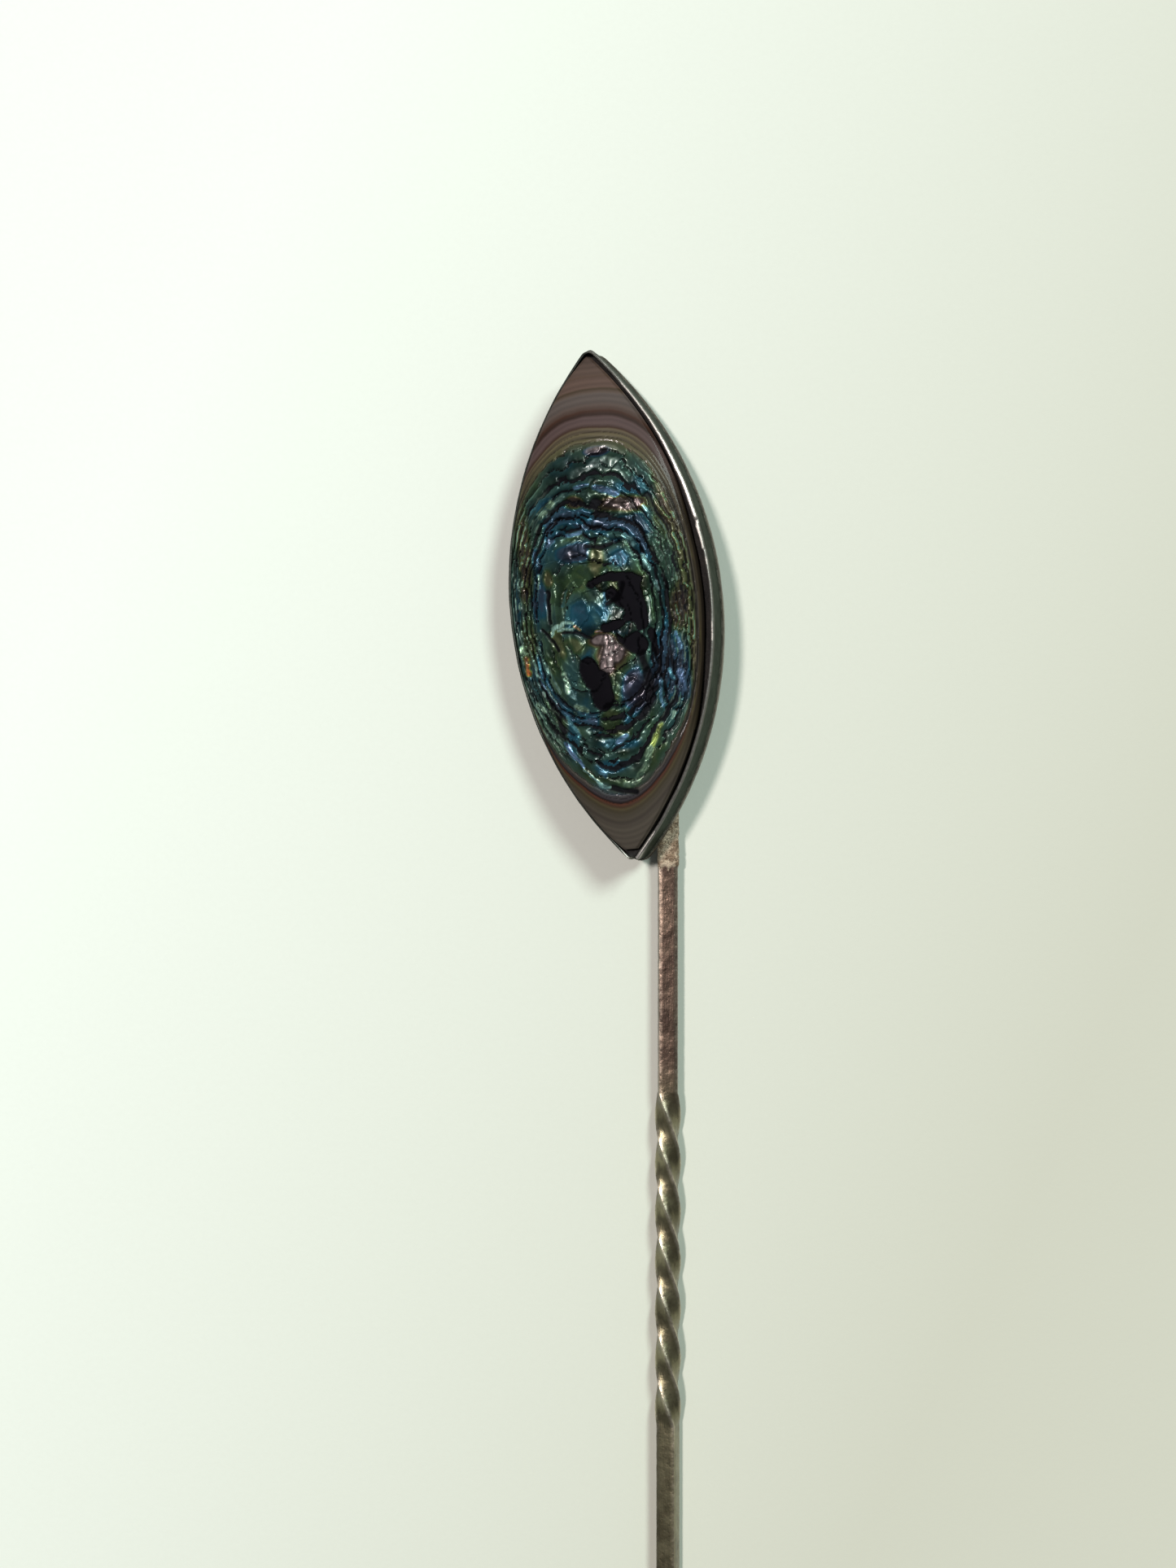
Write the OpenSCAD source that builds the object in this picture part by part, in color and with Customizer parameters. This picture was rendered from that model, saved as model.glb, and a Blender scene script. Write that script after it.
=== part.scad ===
// Hat pin: a marquise bezel with a shell cabochon, soldered to a square-wire stem.
// Lengths in millimetres. +Y runs along the stem towards the head's upper tip, +X is to
// the right as the shell faces you, +Z is up. The pin lies on its side on a table at
// Z = 0, and X = Y = 0 is the middle of its outline seen from above.

/* [Head outline] */
// Length of the bezel over its two tips
head_l = 25.2; // [20:0.1:31]
// Width of the bezel at its middle
head_w = 10.3; // [8.5:0.1:12.6]
// Radius of the bezel's two tips
tip_r = 0.5; // [0.4:0.05:0.8]

/* [Back plate] */
// Thickness of the sheet that closes the back
plate_t = 0.5; // [0.3:0.05:0.8]
// How far the plate stands out past the foot of the bezel strip
ledge = 0.08; // [0.04:0.01:0.3]

/* [Bezel strip] */
// Thickness of the strip bent round the shell
strip_t = 0.18; // [0.12:0.01:0.22]
// Height of the strip above the back plate
strip_h = 2.4; // [1.8:0.1:3.2]
// Width of the open seam at the lower tip, where the strip's two ends don't meet
seam_gap = 0.35; // [0.1:0.05:0.5]

/* [Shell cabochon] */
// Clearance between the shell's edge and the inside of the strip
shell_gap = 0.16; // [0.05:0.01:0.17]
// How far the shell's crown stands above the strip's rim
shell_rise = 1.0; // [0.6:0.1:1.6]
// How far the shell's edge lies below the rim
shell_edge = 0.2; // [0.1:0.05:0.5]

/* [Setting cement] */
// Thickness of the cement between the back plate and the shell
bed_t = 0.5; // [0.2:0.05:0.8]
// How far the cement stops below the rim
bed_drop = 0.65; // [0.5:0.05:1.2]

/* [Solder] */
// Width of the solder line along the foot of the strip, which lies on the ledge
seam_w = 0.06; // [0.02:0.01:0.3]
// Height of that line
seam_h = 0.07; // [0.03:0.01:0.2]
// Thinnest layer of solder between the stem and the back plate
joint_gap = 0.1; // [0.08:0.01:0.3]
// How far the solder spreads out and down beside the stem
joint_side = 0.3; // [0.1:0.05:0.45]
// Length of the lump that wraps the stem's upper end
wrap_l = 2.6; // [1:0.1:4]
// Thickness of the lump over the end and over the face away from the plate
wrap_t = 0.15; // [0.05:0.01:0.2]
// How far the solder runs on along the stem past the plate
tongue_l = 1.2; // [0.5:0.1:2]
// Thickness of the solder there
tongue_t = 0.06; // [0.03:0.01:0.07]

/* [Stem] */
// Side of the square wire
wire_w = 1.0; // [0.8:0.05:1.25]
// Whole length of the stem, from its flat top end to its point
stem_l = 100; // [84:1:125]
// How far the stem runs up past the middle of the head, behind the plate
stem_under = 3; // [1:0.5:6]
// How far the stem's axis lies to the right of the middle of the head
stem_side = 2.38; // [1.8:0.02:3]
// Angle between the head's long axis and the stem
head_turn = 5.14; // [0:0.02:8]
// Plain square length between the head's lower tip and the twist
neck_l = 11.7; // [8:0.1:14]

/* [Twisted grip] */
// Length of the twisted stretch
twist_l = 16.7; // [12:0.1:20.5]
// Angle the wire is turned through, as a left-handed screw
twist_a = 611; // [360:1:720]

/* [Point] */
// Length over which the square wire is filed round
file_l = 3; // [1:0.5:5]
// Depth filed off each flat of the wire along the round stretch
file_t = 0.05; // [0.03:0.01:0.1]
// Length of the round stretch
round_l = 12; // [8:0.5:15]
// Length of the taper down to the point
point_l = 18; // [12:0.5:22]
// Diameter at the very end of the point
point_d = 0.12; // [0.08:0.02:0.2]

/* [Hidden] */
$fn = 180;

// The outline: two side arcs of one radius, each tangent to a small circle at each tip
tip_y = head_l / 2 - tip_r;
arc_r = (head_w * head_w / 4 + tip_y * tip_y - tip_r * tip_r) / (head_w - 2 * tip_r);
arc_x = arc_r - head_w / 2;

// Heights in the head's own frame, measured from the back of the plate
rim_z = plate_t + strip_h;
bed_z = plate_t + bed_t;
edge_z = rim_z - shell_edge;

// The shell's outline is the strip's outside, drawn in by the strip and the clearance
shell_in = strip_t + shell_gap;
shell_a = head_w / 2 - shell_in;
shell_b = head_l / 2 - shell_in;
// Its dome is a barrel lying along the head: one radius across, a longer one along
dome_h = shell_rise + shell_edge;
dome_r = (shell_a * shell_a + dome_h * dome_h) / (2 * dome_h);
dome_l = (shell_b * shell_b + dome_h * dome_h) / (2 * dome_h);

// The stem rests on the ridges of its twist; its upper, plain stretch lies flat
stem_z = wire_w / sqrt(2);
stem_top = stem_z + wire_w / 2;

// The head leans until its plate lies on the stem's near corner, over the solder, with
// its left edge on the table. near_x is that corner's distance from the head's long
// axis where the stem leaves the plate, and the lean is found in two steps.
foot_a = head_w / 2 + ledge;
near_x = (stem_side - wire_w / 2) * cos(head_turn) - tip_y * sin(head_turn);
lean_first = atan((stem_top + joint_gap) / (near_x + foot_a));
lean = atan((stem_top + joint_gap) / (near_x + foot_a * cos(lean_first)));
head_z = foot_a * sin(lean);

// Reach of the outline, grown by g, from the head's middle along the row's X and Y
function reach_x(g) =
    norm([(arc_r + g) * cos(lean) * cos(head_turn), (arc_r + g) * sin(head_turn)])
    - arc_x * cos(lean) * cos(head_turn);
function reach_y(g) =
    tip_y * cos(head_turn)
    + (tip_r + g) * norm([cos(head_turn), cos(lean) * sin(head_turn)]);

// Place of the head's middle and of the stem's axis
rim_shift = rim_z * sin(lean) * cos(head_turn);
head_x = (reach_x(0) + rim_shift - reach_x(ledge)) / 2;
head_y = (stem_l - stem_under - reach_y(ledge)) / 2;
stem_x = head_x + stem_side;
top_y = head_y + stem_under;

// Y, from the head's middle, where a line x to the right of it runs out from under the
// plate at the lower end: the line meets the plate's right arc there
function plate_edge(x) =
    let (
        c = cos(lean), t = cos(head_turn), s = sin(head_turn),
        u = x * t + arc_x * c,
        qa = s * s / (c * c) + t * t,
        qb = 2 * u * s / (c * c) - 2 * x * s * t,
        qc = u * u / (c * c) + x * x * s * s - pow(arc_r + ledge, 2)
    )
    (-qb - sqrt(qb * qb - 4 * qa * qc)) / (2 * qa);

// Distances down the stem from its top end
joint_l = stem_under - plate_edge(stem_side + wire_w / 2 + joint_side);
tongue_end = stem_under - plate_edge(stem_side - wire_w / 2) + tongue_l;
tongue_in = wire_w / 20;
twist_at = stem_under + head_l / 2 + neck_l;
plain_at = twist_at + twist_l;
point_at = stem_l - point_l;
round_at = point_at - round_l;

// The wire is filed to this turned outline: a cone from its corners to the round stretch
round_r = wire_w / 2 - file_t;
file_slope = file_l / (stem_z - round_r);
cone_at = round_at - (wire_w - round_r) * file_slope;

// The square wire as rings of four corners, one every turn_step degrees of the twist
turn_step = 10;
steps = ceil(twist_a / turn_step);
ring_at = concat([0], [for (i = [0:steps]) twist_at + i * twist_l / steps], [stem_l + 1]);
function turned(at) = twist_a * min(max((at - twist_at) / twist_l, 0), 1);
function corner(at, k) =
    let (a = 45 + 90 * k - turned(at)) [stem_z * cos(a), stem_z * sin(a), at];
wire_points = [for (at = ring_at, k = [0:3]) corner(at, k)];
wire_sides = [for (i = [0:len(ring_at) - 2], k = [0:3])
    let (a = 4 * i + k, b = 4 * i + (k + 1) % 4)
    each [[a, a + 4, b + 4], [a, b + 4, b]]];
wire_end = len(wire_points) - 1;
wire_caps = [[0, 1, 2, 3], [for (k = [0:3]) wire_end - k]];

module outline(grow) {
    side = arc_r + grow;
    meet_y = tip_y * side / (arc_r - tip_r);
    intersection() {
        translate([-arc_x, 0]) circle(side);
        translate([arc_x, 0]) circle(side);
        square([2 * head_w, 2 * meet_y], center = true);
    }
    for (end = [-1, 1]) translate([0, end * tip_y]) circle(tip_r + grow);
}

module slab(grow, low, high) {
    translate([0, 0, low]) linear_extrude(high - low) outline(grow);
}

module on_head() {
    translate([head_x, head_y, head_z]) rotate([0, 0, head_turn]) rotate([0, -lean, 0])
        children();
}

module down_stem(at) {
    translate([stem_x, top_y - at, stem_z]) rotate([90, 0, 0]) children();
}

module shell_body() {
    intersection() {
        slab(-shell_in, bed_z, rim_z + shell_rise + 1);
        translate([0, 0, rim_z + shell_rise - dome_r]) rotate([90, 0, 0])
            rotate_extrude() intersection() {
                translate([dome_r - dome_l, 0]) circle(dome_l, $fn = 720);
                translate([0, -shell_b - 1]) square([dome_r + 1, 2 * shell_b + 2]);
            }
    }
}

module back_plate() {
    color([0.36, 0.33, 0.29]) on_head() slab(ledge, 0, plate_t);
}

module bezel() {
    color([0.42, 0.41, 0.37]) on_head() difference() {
        slab(0, plate_t, rim_z);
        slab(-strip_t, plate_t - 1, rim_z + 1);
        translate([-seam_gap / 2, -head_l / 2 - 1, plate_t - 1])
            cube([seam_gap, tip_r + 1, strip_h + 2]);
    }
}

module bezel_solder() {
    color([0.6, 0.56, 0.48]) on_head() difference() {
        slab(seam_w, plate_t, plate_t + seam_h);
        slab(0, plate_t - 1, plate_t + seam_h + 1);
    }
}

module cement_bed() {
    color([0.1, 0.09, 0.08]) on_head() difference() {
        slab(-strip_t, plate_t, rim_z - bed_drop);
        slab(-shell_in, bed_z, rim_z + 1);
    }
}

module shell_cabochon() {
    color([0.27, 0.3, 0.27]) on_head() shell_body();
}

module stem() {
    color([0.36, 0.32, 0.27]) down_stem(0) intersection() {
        polyhedron(wire_points, concat(wire_sides, wire_caps));
        rotate_extrude() polygon([
            [0, -1], [wire_w, -1], [wire_w, cone_at], [round_r, round_at],
            [round_r, point_at], [point_d / 2, stem_l], [0, stem_l]
        ]);
    }
}

// A run of solder along the wire, from its lowest face up past the leaning plate
module solder_run(at, length, low) {
    half = wire_w / 2 + joint_side;
    down_stem(at) linear_extrude(length) polygon([
        [-wire_w / 2, low], [-half, low + joint_side], [-half, 2 * wire_w],
        [half, 2 * wire_w], [half, low + joint_side], [wire_w / 2, low]
    ]);
}

module stem_solder() {
    color([0.55, 0.5, 0.42]) difference() {
        union() {
            difference() {
                union() {
                    solder_run(0, joint_l, wire_w / 2 - joint_side);
                    solder_run(-wrap_t, wrap_l + wrap_t, -wire_w / 2 - wrap_t);
                }
                on_head() translate([-head_w, -head_l, 0]) cube([2 * head_w, 2 * head_l, head_w]);
            }
            down_stem(joint_l - tongue_in) linear_extrude(tongue_end - joint_l + tongue_in)
                translate([tongue_in - wire_w / 2, wire_w / 2 - tongue_in])
                    square([wire_w - 2 * tongue_in, tongue_t + tongue_in]);
        }
        down_stem(0) linear_extrude(stem_l) square(wire_w, center = true);
    }
}

back_plate();
bezel();
bezel_solder();
cement_bed();
shell_cabochon();
stem();
stem_solder();
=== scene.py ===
"""Hat pin: a leaning marquise of abalone shell in a silver bezel, on a twisted square-wire stem."""

import math

import bpy
import numpy as np
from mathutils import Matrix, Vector


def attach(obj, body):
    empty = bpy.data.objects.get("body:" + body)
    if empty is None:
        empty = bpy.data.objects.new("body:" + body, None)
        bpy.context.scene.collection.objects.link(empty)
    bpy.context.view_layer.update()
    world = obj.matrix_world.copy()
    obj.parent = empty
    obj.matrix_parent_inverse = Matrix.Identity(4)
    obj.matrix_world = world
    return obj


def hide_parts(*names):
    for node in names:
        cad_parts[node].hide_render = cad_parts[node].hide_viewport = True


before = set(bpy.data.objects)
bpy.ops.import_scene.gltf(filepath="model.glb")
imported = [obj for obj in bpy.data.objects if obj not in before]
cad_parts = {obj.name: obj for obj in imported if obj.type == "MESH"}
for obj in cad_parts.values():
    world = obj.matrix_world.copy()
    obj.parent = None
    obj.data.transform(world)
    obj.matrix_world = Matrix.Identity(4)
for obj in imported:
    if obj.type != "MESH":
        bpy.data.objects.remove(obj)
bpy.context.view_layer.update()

# ---------------------------------------------------------------- sizes, in millimetres
MM = 0.001
DOUBLES = 1e-7  # points nearer than this, in metres, are one point

HEAD_HALF_L = 12.6  # middle of the head to its tip
HEAD_HALF_W = 5.15
TIP_R = 0.5  # radius of the two tips
SIDE_R = 18.568  # radius of the two side arcs
HEAD_AT = (0.2733, 42.1844, 1.1314)  # middle of the plate's back
HEAD_LEAN = math.radians(12.493)
HEAD_TURN = math.radians(5.14)

PLATE_T = 0.5
LEDGE = 0.08
RIM_Z = 2.9  # heights above the plate's back
BED_Z = 1.0
CEMENT_TOP = 2.25
STRIP_T = 0.18
SEAM_GAP = 0.35
SHELL_IN = 0.34  # strip and clearance together
DOME_TOP = 3.9
DOME_ACROSS_R = 10.24
DOME_ALONG_R = 63.23
SHELL_EDGE = 2.7
BROKEN_END = -11.98  # where the shell's lower tip is broken off

WIRE = 1.0
STEM_X = 2.65335
STEM_TOP_Y = 45.1844
STEM_Z = 0.70711
STEM_L = 100.0
TWIST_FROM = 27.3  # distances down the stem from its upper end
TWIST_TO = 44.0
TWIST_TURN = math.radians(611)
CONE_AT = 63.58
ROUND_AT = 67.0
POINT_AT = 82.0
ROUND_R = 0.45
POINT_R = 0.06
CORNER_POWER = 9.0  # the higher, the sharper the wire's corners

STRIP_RUN = 56.0  # length of the strip round the head
SEAM_AT_BACK = 0.15  # how much wider the seam is drawn than its gap


# ---------------------------------------------------------------- helpers
def on_head(u, v, w):
    """Places points of the head (u across, v along, w out of its face) in the row frame."""
    lean_c, lean_s = math.cos(HEAD_LEAN), math.sin(HEAD_LEAN)
    turn_c, turn_s = math.cos(HEAD_TURN), math.sin(HEAD_TURN)
    across = u * lean_c - w * lean_s
    x = HEAD_AT[0] + across * turn_c - v * turn_s
    y = HEAD_AT[1] + across * turn_s + v * turn_c
    z = HEAD_AT[2] + u * lean_s + w * lean_c
    return x, y, z


def out_of_face(distance):
    """A move straight out of the head's face, from millimetres to metres."""
    flat = -math.sin(HEAD_LEAN) * distance * MM
    return flat * math.cos(HEAD_TURN), flat * math.sin(HEAD_TURN), math.cos(HEAD_LEAN) * distance * MM


def smooth(x, low, high):
    """0 below low and 1 above high, with a soft step between them."""
    t = np.clip((x - low) / (high - low), 0.0, 1.0)
    return t * t * (3.0 - 2.0 * t)


def hills(u, v, size, seed):
    """Smooth random hills of one size, from -1 to 1."""
    table = np.random.default_rng(seed).uniform(-1.0, 1.0, (256, 256))
    x = np.asarray(u) / size + 64.0
    y = np.asarray(v) / size + 64.0
    i, j = np.floor(x).astype(int), np.floor(y).astype(int)
    fx, fy = x - i, y - j
    fx = fx * fx * (3.0 - 2.0 * fx)
    fy = fy * fy * (3.0 - 2.0 * fy)
    near = table[i % 256, j % 256] * (1 - fx) + table[(i + 1) % 256, j % 256] * fx
    far = table[i % 256, (j + 1) % 256] * (1 - fx) + table[(i + 1) % 256, (j + 1) % 256] * fx
    return near * (1 - fy) + far * fy


def rough_hills(u, v, size, seed, octaves=3):
    """Hills with smaller hills on them."""
    total, weight = 0.0, 1.0
    for k in range(octaves):
        total = total + weight * hills(u, v, size / 2**k, seed + 17 * k)
        weight *= 0.5
    return total / 1.75


def chips(u, v, size, seed):
    """Broken chips: the number of each chip from 0 to 1, and its tilted height."""
    rng = np.random.default_rng(seed)
    jitter = rng.uniform(0.0, 1.0, (128, 128, 2))
    number = rng.uniform(0.0, 1.0, (128, 128, 3))
    x, y = np.asarray(u) / size + 40.0, np.asarray(v) / size + 40.0
    i, j = np.floor(x).astype(int), np.floor(y).astype(int)
    nearest = np.full(x.shape, 9.0)
    chip = np.zeros(x.shape + (3,))
    middle_x, middle_y = np.zeros(x.shape), np.zeros(x.shape)
    for di in (-1, 0, 1):
        for dj in (-1, 0, 1):
            a, b = (i + di) % 128, (j + dj) % 128
            cx = i + di + jitter[a, b, 0]
            cy = j + dj + jitter[a, b, 1]
            far = np.hypot(x - cx, y - cy)
            nearer = far < nearest
            nearest = np.where(nearer, far, nearest)
            chip = np.where(nearer[..., None], number[a, b], chip)
            middle_x = np.where(nearer, cx, middle_x)
            middle_y = np.where(nearer, cy, middle_y)
    lean_x, lean_y = chip[..., 1] * 2 - 1, chip[..., 2] * 2 - 1
    slope = (lean_x * (x - middle_x) + lean_y * (y - middle_y)) * size
    return chip[..., 0], slope


def stroke(u, v, path, width):
    """1 on a line drawn through the points of path, fading to 0 at width from it."""
    best = np.full(np.shape(u), 99.0)
    for (au, av), (bu, bv) in zip(path[:-1], path[1:]):
        du, dv = bu - au, bv - av
        t = np.clip(((u - au) * du + (v - av) * dv) / (du * du + dv * dv), 0.0, 1.0)
        best = np.minimum(best, np.hypot(u - au - t * du, v - av - t * dv))
    return 1.0 - smooth(best, 0.35 * width, width)


def start_clean():
    """Nothing selected, and object mode."""
    if bpy.context.object and bpy.context.object.mode != "OBJECT":
        bpy.ops.object.mode_set(mode="OBJECT")
    bpy.ops.object.select_all(action="DESELECT")


def work_on(piece, edit=False):
    """Selects that piece alone, and opens it for editing if asked."""
    start_clean()
    piece.select_set(True)
    bpy.context.view_layer.objects.active = piece
    if edit:
        bpy.ops.object.mode_set(mode="EDIT")
        bpy.ops.mesh.select_mode(type="EDGE")


def face_outwards():
    """Points every face of the piece being edited outwards, and closes it."""
    bpy.ops.mesh.select_all(action="SELECT")
    bpy.ops.mesh.normals_make_consistent(inside=False)
    bpy.ops.object.mode_set(mode="OBJECT")


def sheet(name, along, around):
    """A flat grid of along by around cells, ready to be bent into a piece."""
    start_clean()
    bpy.ops.mesh.primitive_grid_add(
        x_subdivisions=along, y_subdivisions=around, size=2.0, location=(0, 0, 0)
    )
    piece = bpy.context.object
    piece.name = name
    piece.data.name = name
    return piece


def grid_places(piece):
    """Where each point of a fresh grid lies, from 0 to 1 along and from 0 to 1 around."""
    flat = np.empty(len(piece.data.vertices) * 3)
    piece.data.vertices.foreach_get("co", flat)
    flat = flat.reshape(-1, 3)
    return (flat[:, 0] + 1) / 2, (flat[:, 1] + 1) / 2


def place_points(piece, x, y, z):
    """Moves every point of the piece, given in millimetres."""
    spots = np.stack([x, y, z], axis=1) * MM
    piece.data.vertices.foreach_set("co", spots.ravel())
    piece.data.update()


def keep_field(piece, name, values):
    """Stores one value per point for the material to read."""
    layer = piece.data.attributes.new(name, "FLOAT", "POINT")
    layer.data.foreach_set("value", np.asarray(values, dtype=np.float32))


def tidy_mesh(piece, caps=True):
    """Merges doubles, closes open ends and points every face outwards."""
    work_on(piece, edit=True)
    bpy.ops.mesh.select_all(action="SELECT")
    bpy.ops.mesh.remove_doubles(threshold=DOUBLES)
    if caps:
        bpy.ops.mesh.select_all(action="DESELECT")
        bpy.ops.mesh.select_non_manifold(extend=False)
        bpy.ops.mesh.edge_face_add()
    face_outwards()


def smooth_faces(piece, degrees):
    """Smooth shading, with creases kept where faces meet at more than the angle."""
    work_on(piece)
    bpy.ops.object.shade_smooth_by_angle(angle=math.radians(degrees))


def hand_over(piece, node, material):
    """The piece stands for its CAD node, rides on the pin and takes its slot and finish."""
    piece.data.materials.clear()
    piece.data.materials.append(material)
    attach(piece, "root")
    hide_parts(node)


# ---------------------------------------------------------------- outline of the head
def half_width(v, grow=0.0):
    """Half the outline's width at a place along the head, grown outwards by grow."""
    tip_y = HEAD_HALF_L - TIP_R
    side = np.sqrt(np.maximum((SIDE_R + grow) ** 2 - v * v, 0.0)) - (SIDE_R - HEAD_HALF_W)
    tip = np.sqrt(np.maximum((TIP_R + grow) ** 2 - (np.abs(v) - tip_y) ** 2, 0.0))
    meet = tip_y * (SIDE_R + grow) / (SIDE_R - TIP_R)
    return np.where(np.abs(v) > meet, tip, side)


def round_path(count, grow=0.0, opening=0.0):
    """Points round the outline from the lower tip, up the right side and down the left.

    opening leaves a gap of that width at the lower tip. Also gives the outward direction.
    """
    side_a = math.atan2(HEAD_HALF_L - TIP_R, SIDE_R - HEAD_HALF_W)  # half a side arc's angle
    tip_a = math.pi / 2 - side_a
    side_len = (SIDE_R + grow) * 2 * side_a
    tip_len = (TIP_R + grow) * 2 * tip_a
    whole = 2 * (side_len + tip_len)
    s = opening / 2 + np.linspace(0.0, 1.0, count) * (whole - opening)
    half_tip = tip_len / 2
    u, v = np.zeros(count), np.zeros(count)
    out_u, out_v = np.zeros(count), np.zeros(count)
    tip_y = HEAD_HALF_L - TIP_R
    for k in range(count):
        d = s[k]
        if d < half_tip or d >= whole - half_tip:
            a = -math.pi / 2 + (d if d < half_tip else d - whole) / (TIP_R + grow)
            out = (math.cos(a), math.sin(a))
            at = (out[0] * (TIP_R + grow), -tip_y + out[1] * (TIP_R + grow))
        elif d < half_tip + side_len:
            a = -side_a + (d - half_tip) / (SIDE_R + grow)
            out = (math.cos(a), math.sin(a))
            at = (out[0] * (SIDE_R + grow) - (SIDE_R - HEAD_HALF_W), out[1] * (SIDE_R + grow))
        elif d < half_tip + side_len + tip_len:
            a = side_a + (d - half_tip - side_len) / (TIP_R + grow)
            out = (math.cos(a), math.sin(a))
            at = (out[0] * (TIP_R + grow), tip_y + out[1] * (TIP_R + grow))
        else:
            a = math.pi - side_a + (d - half_tip - side_len - tip_len) / (SIDE_R + grow)
            out = (math.cos(a), math.sin(a))
            at = (out[0] * (SIDE_R + grow) + (SIDE_R - HEAD_HALF_W), out[1] * (SIDE_R + grow))
        u[k], v[k] = at
        out_u[k], out_v[k] = out
    return u, v, out_u, out_v


# ---------------------------------------------------------------- shell: growth layers
# How far the outermost growth line reaches from the eye of the shell, every 30 degrees
# from the right, with lengths along the head halved.
EYE = (0.0, -1.0)
REACH = (4.5, 4.75, 5.0, 4.85, 5.1, 5.4, 5.35, 4.8, 4.5, 4.5, 4.3, 4.4)

# The growth lines from the outside in, with the layer that starts at each one: its colour,
# its brightness, its height and the width of the dark line at its inner edge. Colours:
# 0 brown-purple, 0.2 navy, 0.35 blue, 0.5 teal, 0.65 green, 0.8 olive, 0.9 brown, 1 pink.
LAYERS = (
    (1.000, 0.82, 0.80, 0.01, 0.03),
    (0.968, 0.80, 1.15, 0.01, 0.03),
    (0.940, 0.82, 0.80, 0.02, 0.06),
    (0.914, 0.60, 0.60, 0.03, 0.05),
    (0.845, 0.54, 0.55, 0.05, 0.30),
    (0.739, 0.48, 0.85, 0.12, 0.12),
    (0.668, 0.52, 0.55, 0.11, 0.30),
    (0.565, 0.36, 0.85, 0.13, 0.22),
    (0.496, 0.44, 0.70, 0.10, 0.14),
    (0.430, 0.58, 0.62, 0.05, 0.06),
    (0.280, 0.64, 0.70, 0.03, 0.04),
    (0.150, 0.50, 0.70, 0.02, 0.00),
)
# The plain ground rim outside them all, in the same terms.
GROUND_RIM = (1.6, 0.86, 1.0, 0.0, 0.0)


def growth(u, v):
    """Distance from the eye in units of the outermost growth line, and the direction."""
    du, dv = u - EYE[0], (v - EYE[1]) / 2
    angle = np.arctan2(dv, du)
    turn = (angle / (math.pi / 6)) % 12
    i = np.floor(turn).astype(int)
    t = turn - i
    reach = np.array(REACH)
    p0, p1 = reach[(i - 1) % 12], reach[i % 12]
    p2, p3 = reach[(i + 1) % 12], reach[(i + 2) % 12]
    bend = p1 + 0.5 * t * (
        p2 - p0 + t * (2 * p0 - 5 * p1 + 4 * p2 - p3 + t * (3 * (p1 - p2) + p3 - p0))
    )
    g = np.hypot(du, dv) / bend
    left, right = np.maximum(-np.cos(angle), 0.0), np.maximum(np.cos(angle), 0.0)
    inside = np.minimum(g, 1.0) ** (1 + 1.2 * left**2 + 0.3 * right**2)
    return np.where(g < 1.0, inside, g), angle


# Places where the dark horny layer shows: lines through its patches, with half widths.
BLACK_PATCHES = (
    (((-0.6, 1.05), (0.4, 1.3), (1.7, 1.1)), 0.34),
    (((1.3, 0.9), (1.35, -0.6)), 0.78),
    (((1.5, 0.4), (1.6, -1.0)), 0.60),
    (((0.9, -1.6), (1.4, -2.1)), 0.75),
    (((0.4, 0.5), (0.85, -0.1)), 0.45),
    (((-0.1, -1.15), (0.7, -1.0)), 0.34),
    (((-1.15, -3.0), (-0.95, -3.6)), 0.75),
    (((-0.7, -3.7), (-0.5, -4.6)), 0.80),
    (((2.1, -1.5), (2.3, -2.6)), 0.26),
)
# Islands of colour inside them.
ISLANDS = (
    (((0.15, -0.2), (0.75, -0.45)), 0.30),
    (((0.75, -1.45), (1.15, -1.2)), 0.36),
    (((-0.3, 0.85), (0.2, 0.85)), 0.22),
)
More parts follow.
